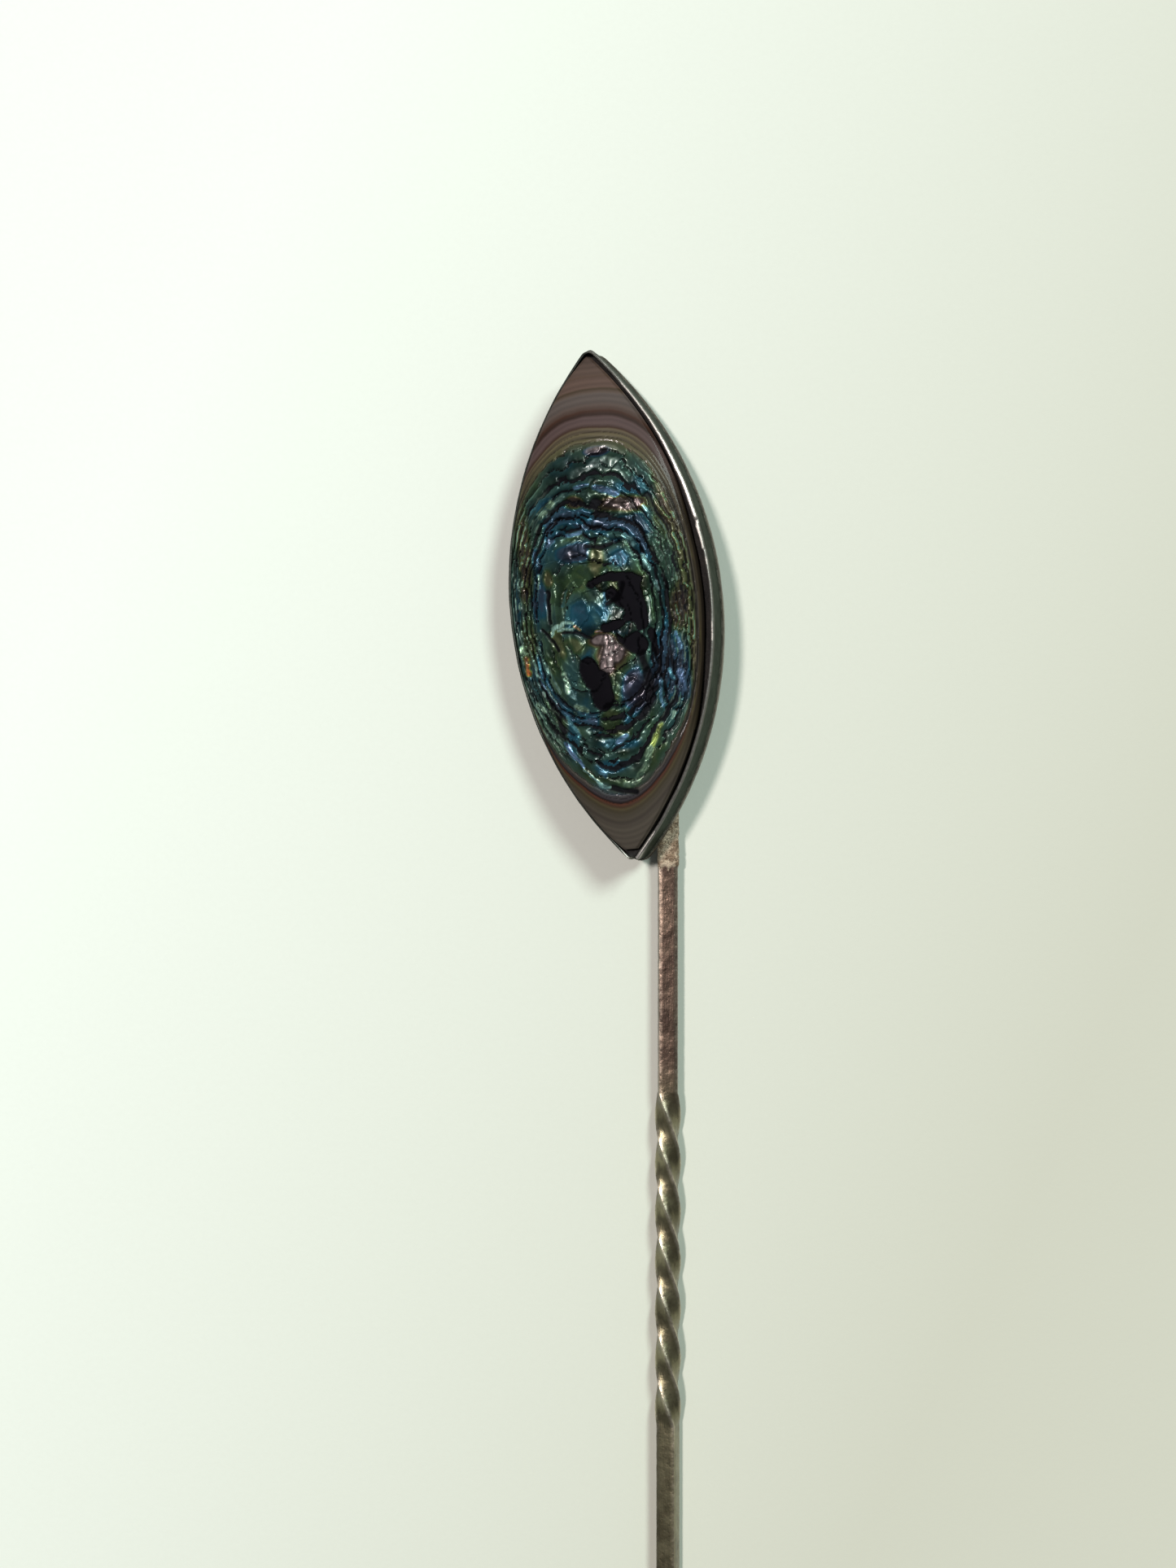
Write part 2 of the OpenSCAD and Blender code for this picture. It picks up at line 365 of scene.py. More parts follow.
# Patches of colour: place, half width, half length, colour, brightness, how strong.
COLOUR_PATCHES = (
    (-1.0, -0.4, 1.3, 0.75, 0.43, 1.25, 1.0),
    (-1.2, 2.6, 0.9, 0.7, 0.20, 0.75, 0.9),
    (-1.2, 1.4, 0.8, 0.9, 0.67, 1.10, 1.0),
    (-0.2, 2.2, 0.5, 0.9, 0.78, 0.95, 0.9),
    (-2.8, 1.6, 0.3, 0.5, 0.80, 1.10, 0.9),
    (-3.2, 0.4, 0.3, 1.1, 0.36, 0.95, 0.9),
    (0.9, 2.1, 0.75, 0.65, 0.36, 0.95, 0.9),
    (2.3, -0.3, 0.55, 1.1, 0.64, 0.80, 0.9),
    (-1.9, -1.9, 1.1, 0.55, 0.72, 1.05, 1.0),
    (-2.0, -3.4, 0.5, 1.4, 0.50, 1.10, 0.9),
    (0.6, -3.2, 0.4, 1.0, 0.68, 0.90, 0.9),
    (3.6, 4.6, 0.9, 2.6, 0.88, 0.80, 0.9),
    (3.9, 0.5, 0.5, 3.0, 0.85, 0.75, 0.7),
    (3.2, -3.4, 0.8, 2.0, 0.34, 0.95, 0.9),
    (4.1, -3.2, 0.35, 2.4, 0.86, 1.10, 0.8),
    (1.2, -4.3, 0.9, 1.1, 0.10, 0.75, 0.9),
    (-0.3, -5.6, 0.7, 0.7, 0.74, 0.75, 0.9),
    (0.1, -6.8, 1.2, 0.35, 0.42, 1.20, 0.9),
    (-0.4, -7.9, 1.1, 0.4, 0.40, 1.00, 0.9),
    (-2.3, -6.3, 0.35, 1.2, 0.42, 1.15, 0.9),
    (-3.3, -6.0, 0.5, 1.8, 0.60, 0.90, 0.9),
    (-0.3, -9.5, 1.3, 0.35, 0.27, 1.00, 1.0),
    (-1.3, -9.0, 0.7, 0.4, 0.45, 0.90, 0.9),
    (1.0, 6.5, 1.2, 0.5, 0.56, 0.60, 0.8),
    (1.2, 4.8, 1.5, 0.50, 0.95, 0.70, 1.0),
    (-1.1, 5.1, 0.5, 0.35, 0.96, 0.95, 0.9),
    (-4.0, 2.6, 0.5, 2.6, 0.96, 0.60, 0.8),
    (-4.1, -1.0, 0.5, 1.6, 0.80, 0.60, 0.8),
    (3.0, 1.6, 0.6, 1.8, 0.56, 0.55, 0.8),
    (3.5, -0.6, 0.5, 1.2, 0.95, 0.60, 0.7),
    (0.4, 3.9, 1.6, 0.35, 0.32, 0.95, 0.8),
    (-1.7, 4.4, 1.3, 0.35, 0.36, 0.85, 0.8),
    (-3.2, 3.8, 0.5, 1.1, 0.62, 0.75, 0.8),
    (0.2, 7.5, 0.7, 0.25, 0.02, 0.70, 0.9),
    # The last three paint a pinkish reflection of a lamp on the shell.
    (0.15, -2.35, 0.95, 0.80, 1.00, 0.95, 1.0),
    (-0.3, -1.7, 0.8, 0.40, 1.00, 1.00, 1.0),
    (-0.2, -3.0, 0.45, 0.60, 1.00, 0.90, 1.0),
)
# Painted glints: flashes of bright colour painted along ridges as highlights: the line, its width, its
# colour, how bright.
PAINTED_GLINTS = (
    (((-2.95, -1.25), (-2.7, -0.9), (-2.3, -0.85)), 0.11, 0.53, 1.0),
    (((-2.35, -0.75), (-2.0, -0.72), (-1.7, -0.8)), 0.08, 0.53, 1.0),
    (((-2.5, -1.05), (-2.1, -1.0), (-1.7, -1.1)), 0.07, 0.53, 0.8),
    (((-1.6, -0.95), (-1.3, -1.15)), 0.07, 1.00, 0.7),
    (((-2.9, 4.65), (-2.7, 4.85)), 0.17, 0.58, 0.6),
    (((-2.45, 5.1), (-2.25, 5.3)), 0.20, 0.60, 1.0),
    (((-1.95, 5.4), (-1.75, 5.5)), 0.17, 0.52, 0.8),
    (((0.0, 5.75), (0.45, 5.55), (0.9, 5.25)), 0.19, 0.34, 1.0),
    (((-1.0, 5.75), (-0.4, 5.85)), 0.12, 0.36, 0.5),
    (((2.2, 4.55), (2.4, 4.1)), 0.10, 0.48, 0.9),
    (((1.3, 3.3), (1.7, 2.8)), 0.13, 0.48, 0.7),
    (((2.1, 2.2), (2.35, 1.5)), 0.11, 0.50, 0.8),
    (((2.5, 0.9), (2.6, 0.5)), 0.08, 0.50, 0.8),
    (((-2.75, 3.2), (-2.4, 3.4)), 0.14, 0.36, 0.6),
    (((-1.6, 3.5), (-1.0, 3.6)), 0.12, 0.36, 0.7),
    (((-3.3, 1.8), (-3.35, 1.2)), 0.08, 0.55, 0.8),
    (((-2.45, -3.2), (-2.3, -4.1)), 0.12, 0.58, 0.9),
    (((-4.55, -1.7), (-4.45, -2.4)), 0.20, 0.60, 1.0),
    (((-4.38, -2.2), (-4.25, -2.9)), 0.18, 0.87, 1.0),
    (((-4.1, -1.8), (-3.8, -3.0), (-3.0, -4.6)), 0.05, 0.53, 0.5),
    (((-3.7, -1.7), (-3.3, -2.8), (-2.7, -4.2)), 0.06, 0.53, 0.4),
    (((-4.0, -4.5), (-3.7, -4.9)), 0.12, 0.58, 0.9),
    (((-2.05, -4.85), (-1.4, -5.05)), 0.14, 0.58, 0.95),
    (((-1.0, -8.15), (-0.85, -8.25)), 0.17, 0.40, 1.0),
    (((-1.9, -8.0), (-1.3, -8.6), (-0.7, -8.9)), 0.07, 0.50, 0.8),
    (((-2.7, -6.6), (-1.9, -7.8)), 0.13, 0.33, 0.6),
    (((-2.45, -5.3), (-2.0, -6.3)), 0.12, 0.45, 0.6),
    (((0.0, -6.7), (0.35, -6.5)), 0.16, 0.36, 0.8),
    (((2.1, -6.1), (1.9, -6.6), (1.6, -7.1)), 0.17, 0.72, 1.0),
    (((1.5, -7.2), (1.3, -7.9), (0.7, -8.6), (0.1, -8.9)), 0.16, 0.60, 0.6),
    (((3.3, -1.7), (3.4, -2.4)), 0.12, 0.36, 0.7),
    (((2.75, -3.4), (2.9, -4.0)), 0.07, 0.45, 0.9),
    (((2.3, -3.9), (2.3, -5.2)), 0.10, 0.38, 0.4),
    (((3.3, -3.6), (3.3, -4.4)), 0.20, 0.32, 0.4),
    (((2.75, -5.4), (2.65, -5.8)), 0.08, 0.55, 0.8),
    # The last four paint white streaks in that painted lamp reflection.
    (((-0.1, -1.7), (-0.1, -2.3)), 0.07, 1.00, 1.0),
    (((0.15, -1.9), (0.15, -2.4)), 0.06, 1.00, 0.8),
    (((-0.6, -1.35), (0.0, -1.3)), 0.07, 1.00, 0.7),
    (((0.0, -2.6), (-0.1, -3.3)), 0.09, 1.00, 0.7),
)
# Dark cracks that run across the layers.
CRACKS = (
    (((-2.3, -1.15), (-1.5, -1.2), (-0.9, -1.55)), 0.12),
    (((-3.3, -0.9), (-2.9, -1.5), (-2.6, -2.0)), 0.14),
    (((1.6, -2.6), (1.75, -3.6), (1.8, -5.0), (1.2, -5.6)), 0.28),
    (((2.2, -2.4), (2.4, -3.4), (2.6, -5.0)), 0.12),
    (((2.9, -2.2), (3.0, -3.4), (3.0, -5.0)), 0.14),
    (((-3.4, -4.0), (-2.9, -5.2), (-2.8, -6.0)), 0.24),
    (((-0.6, -8.9), (0.0, -9.1), (0.6, -9.2)), 0.22),
    (((0.9, 0.9), (0.6, 0.2), (0.2, 0.0)), 0.16),
    (((-2.9, 0.9), (-2.8, -0.6)), 0.16),
    (((-0.6, 2.9), (0.1, 2.75), (0.6, 2.9)), 0.16),
)


SLIP = 0.045  # how far the blocks slip, in the units of growth


def shell_fields(u, v):
    """Height of the relief over the ground dome, and the fields the shell's colour reads."""
    g, angle = growth(u, v)
    along, sweep = g * 9.0, angle * 4.2
    core = 1 - smooth(g, 0.86, 0.96)

    # The growth lines wander more towards the middle, and their edges are ragged.
    wander = 0.036 * rough_hills(u, v, 2.1, 5) + 0.012 * hills(u, v, 0.5, 9)
    ragged = 0.006 * hills(u, v, 0.2, 12)
    warped = g + (wander + ragged) * (0.15 + 0.95 * core)
    # Broken blocks have slipped a little, so that the lines jog where they part.
    block_u, block_v = u + 0.4 * hills(u, v, 1.3, 15), v + 0.4 * hills(u, v, 1.3, 16)
    slip = chips(block_u, block_v * 0.7, 0.95, 18)[0] + 0.5 * chips(block_v, block_u, 0.5, 19)[0]
    warped = warped + SLIP * core * (slip - 0.75)

    table = np.array([GROUND_RIM, *LAYERS])
    layer = np.searchsorted(-table[1:, 0], -warped)
    outer, inner = table[layer, 0], np.append(table[1:, 0], 0.0)[layer]
    hue_of, light_of, height_of, line_of = (table[layer, k] for k in (1, 2, 3, 4))
    phase = np.clip((outer - warped) / (outer - inner), 0.0, 1.0) * (layer > 0)
    mm_per_g = np.hypot(u - EYE[0], v - EYE[1]) / np.maximum(g, 0.05)
    to_inner = (warped - inner) * mm_per_g

    # Each layer stands up from the last dark line and slopes down towards the next.
    crest = smooth(phase, 0.0, 0.25) * (1 - 0.75 * smooth(phase, 0.3, 1.0))
    relief = height_of * (crest - 0.6)

    chip, slope = chips(along * 1.6, sweep * 0.55, 0.8, 21)
    plate, tilt = chips(u + 0.5 * hills(u, v, 1.1, 3), v, 1.1, 33)
    inner_zone = 1 - smooth(g, 0.55, 0.88)
    relief = relief + inner_zone * (0.05 * slope + 0.09 * tilt)
    relief = relief + core * 0.045 * rough_hills(u, v, 1.1, 41)
    relief = relief + core * 0.006 * hills(u, v, 0.25, 44)

    hue = hue_of + core * 0.20 * rough_hills(along * 0.7, sweep, 2.1, 51)
    hue = hue + inner_zone * 0.10 * (chip - 0.5)
    light = light_of * (1 + core * 0.35 * rough_hills(u, v, 1.5, 61))
    light = light * (1 + inner_zone * (0.35 * (chip - 0.5) + 0.3 * (plate - 0.5)))
    # Painted light: each layer is painted brighter at its crest and darker towards its inner foot.
    light = light * (1.0 + core * (0.30 - 1.05 * phase))
    # Painted shade makes it nearly black deep between the chips, and the head of the shell is dull.
    light = light * (1 - core * 0.75 * smooth(rough_hills(u, v, 1.0, 63), 0.05, 0.7))
    dull = np.exp(-(((u + 0.4) / 2.2) ** 2 + ((v - 6.6) / 1.0) ** 2))
    light = light * (1 - 0.5 * dull)

    for pu, pv, ru, rv, tint, bright, strong in COLOUR_PATCHES:
        far = np.hypot((u - pu) / ru, (v - pv) / rv) + 0.30 * rough_hills(u, v, 0.9, 71)
        mask = strong * (1 - smooth(far, 0.45, 1.25))
        hue = hue * (1 - mask) + (tint + 0.06 * (chip - 0.5)) * mask
        light = light * (1 - 0.7 * mask) + bright * (0.8 + 0.4 * chip) * 0.55 * mask

    # Dark lines run along the inner foot of each layer, of uneven width.
    uneven = 1 + 0.85 * rough_hills(along, sweep, 1.7, 81)
    line_w = line_of * uneven * (0.35 + 0.65 * core) * (0.55 + 0.45 * np.abs(np.sin(angle)))
    line = (1 - smooth(to_inner, line_w, line_w + 0.05)) * (layer > 0) * (line_of > 0)
    line = line * smooth(uneven, 0.25, 0.55) * (0.45 + 0.55 * core)
    dark = line
    for path, width in CRACKS:
        dark = np.maximum(dark, stroke(u + 0.10 * hills(u, v, 0.4, 91), v, path, width))

    # The sides show many thin edges close together.
    sides = smooth(np.abs(np.cos(angle)), 0.55, 0.9) * smooth(g, 0.5, 0.7)
    sides = sides * (1 - smooth(g, 0.93, 1.0))
    rib = np.sin(34.0 * (warped + 0.012 * rough_hills(along, sweep, 1.0, 85)) * 2.4)
    dark = np.maximum(dark, sides * 0.8 * smooth(rib, 0.45, 0.95))
    relief = relief - 0.04 * sides * smooth(rib, 0.0, 1.0)
    light = light * (1 + 0.9 * sides * smooth(-rib, 0.4, 1.0))

    # Patches of the horny layer lie a little lower and are flat and black.
    rag_u, rag_v = 0.10 * rough_hills(u, v, 0.6, 95), 0.10 * rough_hills(u, v, 0.6, 97)
    black = np.zeros(np.shape(u))
    for path, width in BLACK_PATCHES:
        black = np.maximum(black, stroke(u + rag_u, v + rag_v, path, width))
    for path, width in ISLANDS:
        black = black * (1 - stroke(u + rag_u, v + rag_v, path, width))
    black = smooth(black, 0.35, 0.55)
    relief = relief * (1 - 0.97 * black) - 0.12 * black
    relief = relief - 0.05 * dark * core

    # Painted glints along the thin edges on the sides, stronger on the left, and then the painted glints of
    # the table above.
    broken = smooth(hills(u, v, 0.5, 87), -0.1, 0.5)
    pale = np.where(u < 0, 0.50, 0.18)
    painted_glint = pale * sides * smooth(-rib, 0.55, 1.0) * broken * (1 - black)
    hue = hue + (0.56 - hue) * smooth(painted_glint, 0.0, 0.12)
    for path, width, tint, bright in PAINTED_GLINTS:
        mask = stroke(u + 1.6 * rag_u, v + 1.6 * rag_v, path, width * 1.35) ** 1.5
        patchy = smooth(rough_hills(u, v, 0.30, 99), -0.45, 0.35)
        glints = 0.45 + 0.55 * smooth(np.sin(300 * (warped + 0.02 * plate)), -0.3, 0.7)
        painted_glint = np.maximum(painted_glint, mask * bright * (0.12 + 0.88 * patchy) * glints)
        hue = hue * (1 - mask) + tint * mask
        dark = dark * (1 - 0.8 * mask)
        relief = relief + 0.02 * mask

    # The ground rim is brown and plain along the sides and rosier towards the two tips.
    tip = smooth(v, 4.0, 8.0)
    foot = smooth(-v, 4.5, 8.0)
    fields = {
        "growth": g,
        "hue": np.clip(hue, 0.0, 1.0),
        "light": light,
        "dark": dark,
        "black": black,
        "painted_glint": painted_glint,
        "core": core,
        "tip": tip,
        "foot": foot,
    }
    return relief, fields


def build_shell():
    """The cabochon: a ground dome whose middle shows the shell's broken growth layers."""
    piece = sheet("shell_cabochon", 440, 176)
    s, t = grid_places(piece)
    # The lower tip is broken off short, at the open seam.
    high_end = HEAD_HALF_L - SHELL_IN - 0.015
    v = BROKEN_END + s * (high_end - BROKEN_END)
    across = 2 * t - 1
    reach = half_width(v, -SHELL_IN) + 0.004
    # The right edge was ground away from the strip, and the left edge fills it.
    gap = np.where(across > 0, -0.24 * (1 - smooth(np.abs(v - 0.2), 2.5, 7.5)), 0.13)
    reach = reach + gap * np.clip(reach / 1.0, 0.0, 1.0)
    u = across * reach
    relief, fields = shell_fields(u, v)
    barrel = DOME_ACROSS_R - DOME_ALONG_R + np.sqrt(DOME_ALONG_R**2 - v * v)
    dome = DOME_TOP - DOME_ACROSS_R + np.sqrt(barrel**2 - u * u)
    from_edge = (1 - np.abs(across)) * reach
    w = dome + relief * smooth(from_edge, 0.0, 0.25)
    eased = np.where(across > 0, 0.10, 0.04) * (1 - smooth(from_edge, 0.0, 0.16))
    w = w - eased - 0.02 + 0.012 * hills(u, v, 2.2, 7)
    for name, values in fields.items():
        keep_field(piece, name, values)
    place_points(piece, *on_head(u, v, w))

    # The edge goes straight down to the cement, and the back is closed.
    deep = SHELL_EDGE - BED_Z - 0.1
    work_on(piece, edit=True)
    bpy.ops.mesh.select_all(action="DESELECT")
    bpy.ops.mesh.select_non_manifold(extend=False)
    bpy.ops.mesh.extrude_region_move(TRANSFORM_OT_translate={"value": out_of_face(-deep)})
    bpy.ops.mesh.edge_face_add()
    face_outwards()
    smooth_faces(piece, 50)
    return piece


# ---------------------------------------------------------------- bezel
# The cross-section of the strip, from its outer foot over the rim and down inside, as
# (how far out of the strip's outside, height between foot and rim).
STRIP_SECTION = (
    (0.0, 0.0),
    (0.0, 0.15),
    (0.0, 0.35),
    (0.0, 0.55),
    (0.0, 0.75),
    (0.0, 0.90),
    (0.0, 0.965),
    (-0.18, 0.99),
    (-0.5, 1.0),
    (-0.82, 0.99),
    (-1.0, 0.965),
    (-1.0, 0.90),
    (-1.0, 0.70),
    (-1.0, 0.40),
    (-1.0, 0.0),
)


def build_bezel():
    """The strip bent round the shell: thin and pressed in on the left, thick on the right."""
    stations, rows = 720, len(STRIP_SECTION)
    piece = sheet("bezel", stations, rows)
    s, t = grid_places(piece)
    at = np.rint(s * stations).astype(int)
    row = np.rint(t * rows).astype(int) % rows
    u, v, out_u, out_v = (a[at] for a in round_path(stations + 1, 0.0, SEAM_GAP + SEAM_AT_BACK))
    out = np.array([p[0] for p in STRIP_SECTION])[row]
    up = np.array([p[1] for p in STRIP_SECTION])[row]
    run = s * STRIP_RUN
    right = smooth(out_u, -0.2, 0.6)
    thick = STRIP_T * (0.62 + 0.38 * right)
    # Painted highlight: the span of the rim on the upper right that is painted bright, where the rim is also
    # drawn thicker.
    worn = np.exp(-(((v - 5.8) / 2.6) ** 2)) * right
    thick = thick * (1 + 0.45 * worn * smooth(up, 0.8, 1.0))
    thick = thick * (1 + 0.12 * hills(run, 0, 1.1, 3))
    # A nick and a step in the rim on the right.
    nick = np.exp(-(((v - 3.65) / 0.12) ** 2)) * right * smooth(up, 0.88, 1.0)
    step = smooth(v, 2.2, 2.3) * (1 - smooth(v, 3.5, 3.6)) * right * smooth(up, 0.9, 1.0)
    # The rim wanders, is pressed over the shell on the left, and is dented here and there.
    press = 0.09 * (1 - right) * up**3
    wave = 0.03 * rough_hills(run, 0, 2.3, 11) * up + 0.012 * hills(run, up * 4, 0.7, 13)
    off = out * thick - press + np.minimum(wave, 0.0) + 0.3 * np.minimum(-wave, 0.0)
    height = PLATE_T + up * (RIM_Z - PLATE_T)
    height = height + up**4 * (0.035 * rough_hills(run, 0, 1.6, 17) - 0.03)
    height = height - 0.17 * (1 - right) * up**3 - 0.09 * nick - 0.05 * step
    off = off - 0.05 * step
    # The strip's right-hand end is folded over at the open seam.
    fold = np.exp(-((run / 0.35) ** 2)) * smooth(up, 0.8, 1.0)
    off = off + 0.02 * fold
    height = height - 0.10 * fold
    place_points(piece, *on_head(u + out_u * off, v + out_v * off, height))
    from_end = np.minimum(run, STRIP_RUN - run)
    # The seam's two ends get a painted highlight. The rim's top is worn pale all round, with a painted
    # highlight over it that is stronger on the right.
    ends = 1.1 * np.exp(-((from_end / 0.5) ** 2)) * smooth(up, 0.6, 0.95)
    rim_wear_and_highlight = smooth(up, 0.93, 0.99) * (0.12 + 0.70 * right)
    keep_field(piece, "wear", np.clip(rim_wear_and_highlight * (0.55 + 0.75 * worn) + ends, 0, 1))
    keep_field(piece, "foot", 1 - smooth(up, 0.0, 0.2))
    tidy_mesh(piece)
    smooth_faces(piece, 42)
    return piece


def build_plate():
    """The sheet closing the back: a disc drawn to the outline, thickened and its edges eased."""
    count = 360
    start_clean()
    bpy.ops.mesh.primitive_circle_add(vertices=count, radius=HEAD_HALF_W * MM, fill_type="NOTHING")
    piece = bpy.context.object
    piece.name = "back_plate"
    piece.data.name = "back_plate"
    u, v, out_u, out_v = (a[:-1] for a in round_path(count + 1, LEDGE))
    ripple = 0.012 * hills(np.arange(count) * 0.16, 0, 1.0, 23)
    u, v = u + out_u * np.minimum(ripple, 0), v + out_v * np.minimum(ripple, 0)
    place_points(piece, *on_head(u, v, np.zeros(count)))
    bpy.ops.object.mode_set(mode="EDIT")
    bpy.ops.mesh.select_all(action="SELECT")
    bpy.ops.mesh.edge_face_add()
    bpy.ops.mesh.inset(thickness=0.25 * MM, depth=0)
    bpy.ops.mesh.select_all(action="SELECT")
    bpy.ops.mesh.extrude_region_move(TRANSFORM_OT_translate={"value": out_of_face(PLATE_T)})
    face_outwards()
    bevel = piece.modifiers.new("eased edge", "BEVEL")
    bevel.width = 0.07 * MM
    bevel.segments = 3
    bevel.limit_method = "ANGLE"
    bevel.angle_limit = math.radians(50)
    bpy.ops.object.modifier_apply(modifier=bevel.name)
    smooth_faces(piece, 40)
    return piece


def build_bezel_solder():
    """The bead of solder along the foot of the strip."""
    stations, rows = 600, 6
    piece = sheet("bezel_solder", stations, rows)
    s, t = grid_places(piece)
    at = np.rint(s * stations).astype(int) % stations
    row = np.rint(t * rows).astype(int) % rows
    u, v, out_u, out_v = (a[at] for a in round_path(stations + 1, 0.0))
    run = at / stations * STRIP_RUN
    swell = 1 + 0.18 * rough_hills(run, 0, 1.7, 29) * smooth(STRIP_RUN - run, 0.0, 2.0)
    out = np.array([-0.02, 0.062, 0.055, 0.030, 0.0, -0.02])[row]
    up = np.array([-0.01, -0.01, 0.018, 0.045, 0.075, 0.075])[row]
    off = np.where(out > 0, out * swell, out)
    rise = np.where(up > 0, up * swell, up)
    place_points(piece, *on_head(u + out_u * off, v + out_v * off, PLATE_T + rise))
    tidy_mesh(piece, caps=False)
    smooth_faces(piece, 60)
    return piece


def build_cement():
    """The dark cement the shell sits in, which shows as a ring inside the rim."""
    stations, rows = 480, 9
    piece = sheet("cement_bed", stations, rows)
    s, t = grid_places(piece)
    at = np.rint(s * stations).astype(int) % stations
    row = np.rint(t * rows).astype(int) % rows
    u, v, out_u, out_v = (a[at] for a in round_path(stations + 1, -STRIP_T + 0.01))
    run = at / stations * STRIP_RUN
    low, top = PLATE_T + 0.005, CEMENT_TOP - 0.05
    inward = np.array([0.0, 0.0, 0.0, 0.09, 0.18, 0.27, 0.36, 0.44, 0.44])[row]
    height = np.array([low, 1.3, top, top - 0.05, top - 0.09, top - 0.1, top - 0.1, 1.3, low])[row]
    lumps = 0.07 * rough_hills(run, inward * 5, 0.6, 31) * (height > 1.4)
    place_points(piece, *on_head(u - out_u * inward, v - out_v * inward, height + lumps))
    tidy_mesh(piece, caps=False)
    smooth_faces(piece, 60)
    return piece


# ---------------------------------------------------------------- stem and its solder
def twist_at(down):
    """The angle the wire is turned through at a distance down the stem."""
    return TWIST_TURN * np.clip((down - TWIST_FROM) / (TWIST_TO - TWIST_FROM), 0.0, 1.0)


def wire_reach(angle, side):
    """Distance from the wire's axis to its skin: a square with eased corners."""
    across, up = np.abs(np.cos(angle)), np.abs(np.sin(angle))
    return side / 2 / (across**CORNER_POWER + up**CORNER_POWER) ** (1 / CORNER_POWER)


def build_stem():
    """The square wire: plain, twisted, plain again, filed round and drawn to a point."""
    stations, rows = 900, 40
    piece = sheet("stem", stations, rows)
    s, t = grid_places(piece)
    fine = 0.72  # this share of the stations lies from the top to just past the twist
    down = np.interp(s, (0, fine, 1), (0, TWIST_TO + 2, STEM_L))
    around = t * 2 * math.pi
    corner = np.abs(((around / (math.pi / 2)) % 1.0) - 0.5) * 2  # 1 on a flat, 0 on a corner
    reach = wire_reach(around, WIRE)
    turned_at = (0, CONE_AT, ROUND_AT, POINT_AT, STEM_L)
    turned = np.interp(down, turned_at, (1, 0.72, ROUND_R, ROUND_R, POINT_R))
    filed = smooth(down, CONE_AT - 0.5, CONE_AT + 1.5)
    limit = np.minimum(reach, turned)
    dents = 0.014 * rough_hills(down, around * 0.55, 0.9, 37)
    dents = dents + 0.007 * hills(down, around, 0.3, 43)
    limit = limit - np.abs(dents) * (1 - 0.6 * filed) * smooth(limit, 0.05, 0.3)
    limit = limit * (1 - 0.10 * (1 - smooth(down, 0.0, 0.12)))
    # The ridges run down to the right, like a left-handed screw's.
    turn = around - twist_at(down)
    x = STEM_X + limit * np.cos(turn)
    z = STEM_Z + limit * np.sin(turn)
    place_points(piece, x, STEM_TOP_Y - down, z)
    keep_field(piece, "wear", np.clip(1 - corner * 3.2, 0, 1) * (1 - filed))
    twisted = smooth(down, TWIST_FROM - 0.4, TWIST_FROM + 1.0)
    keep_field(piece, "grip", twisted * (1 - smooth(down, TWIST_TO - 0.6, TWIST_TO + 1.4)))
    keep_field(piece, "below", smooth(down, TWIST_FROM - 2, TWIST_FROM + 2))
    tidy_mesh(piece)
    smooth_faces(piece, 35)
    return piece


def plate_height(x, y):
    """Height of the plate's back over a point of the table."""
    across = (x - HEAD_AT[0]) * math.cos(HEAD_TURN) + (y - HEAD_AT[1]) * math.sin(HEAD_TURN)
    return HEAD_AT[2] + across * math.tan(HEAD_LEAN)


def build_stem_solder():
    """Solder run between the plate and the wire, ending in a ragged patch on the wire."""
    stations, rows = 420, 40
    piece = sheet("stem_solder", stations, rows)
    s, t = grid_places(piece)
    down = -0.15 + s * 16.75
    y = STEM_TOP_Y - down
    turn = np.rint(t * rows).astype(int) % rows / rows * 2 * math.pi
    side, top = np.cos(turn), np.sin(turn)
    square = wire_reach(turn, WIRE)

    # Past the plate it is a rough skin on the upper part of the wire, with a torn edge.
    torn = 0.45 * rough_hills(side * 0.6, top * 0.1, 0.22, 47)
    skin = square + 0.03 + 0.07 * np.abs(rough_hills(y, turn * 0.5, 0.30, 53))
    keep = (1 - smooth(down + torn, 15.9, 16.2)) * smooth(top, 0.25, 0.5)
    reach = np.where(keep > 0, square * 0.94 + (skin - square * 0.94) * keep, square * 0.94)
    x_skin, z_skin = STEM_X + reach * side, STEM_Z + reach * top

    # Under the plate it spreads up to it, and wraps the wire's upper end.
    spread = WIRE / 2 + 0.3 + 0.06 * rough_hills(y, side, 0.8, 59)
    x_run = STEM_X + side * spread
    ceiling = plate_height(x_run, y) + 0.02
    lump = smooth(2.6 - down, 0.0, 0.9)
    floor = STEM_Z + 0.25 * (1 - lump) - (WIRE / 2 + 0.13) * lump
    climb = smooth(top, -0.5, 0.75)
    z_run = np.minimum(floor + (ceiling - floor) * climb, ceiling)
    under = 1 - smooth(down, 12.2, 13.2)
    place_points(
        piece,
        x_skin + (x_run - x_skin) * under,
        y,
        z_skin + (z_run - z_skin) * under,
    )
    tidy_mesh(piece)
    smooth_faces(piece, 50)
    return piece


# ---------------------------------------------------------------- material helpers
def tone(red, green, blue):
    """A colour given on a 0 to 255 scale, as the shader wants it."""
    mixed = []
    for value in (red, green, blue):
        c = value / 255
        mixed.append(c / 12.92 if c <= 0.04045 else ((c + 0.055) / 1.055) ** 2.4)
    return (*mixed, 1.0)


def add(tree, kind, **values):
    """A node of that kind, with the named inputs or settings filled in."""
    node = tree.nodes.new(kind)
    for name, value in values.items():
        if hasattr(node, name) and name not in node.inputs:
            setattr(node, name, value)
        else:
            node.inputs[name.replace("_", " ")].default_value = value
    return node


def join(tree, source, target, name):
    """Links an output to a named input."""
    tree.links.new(source, target.inputs[name])


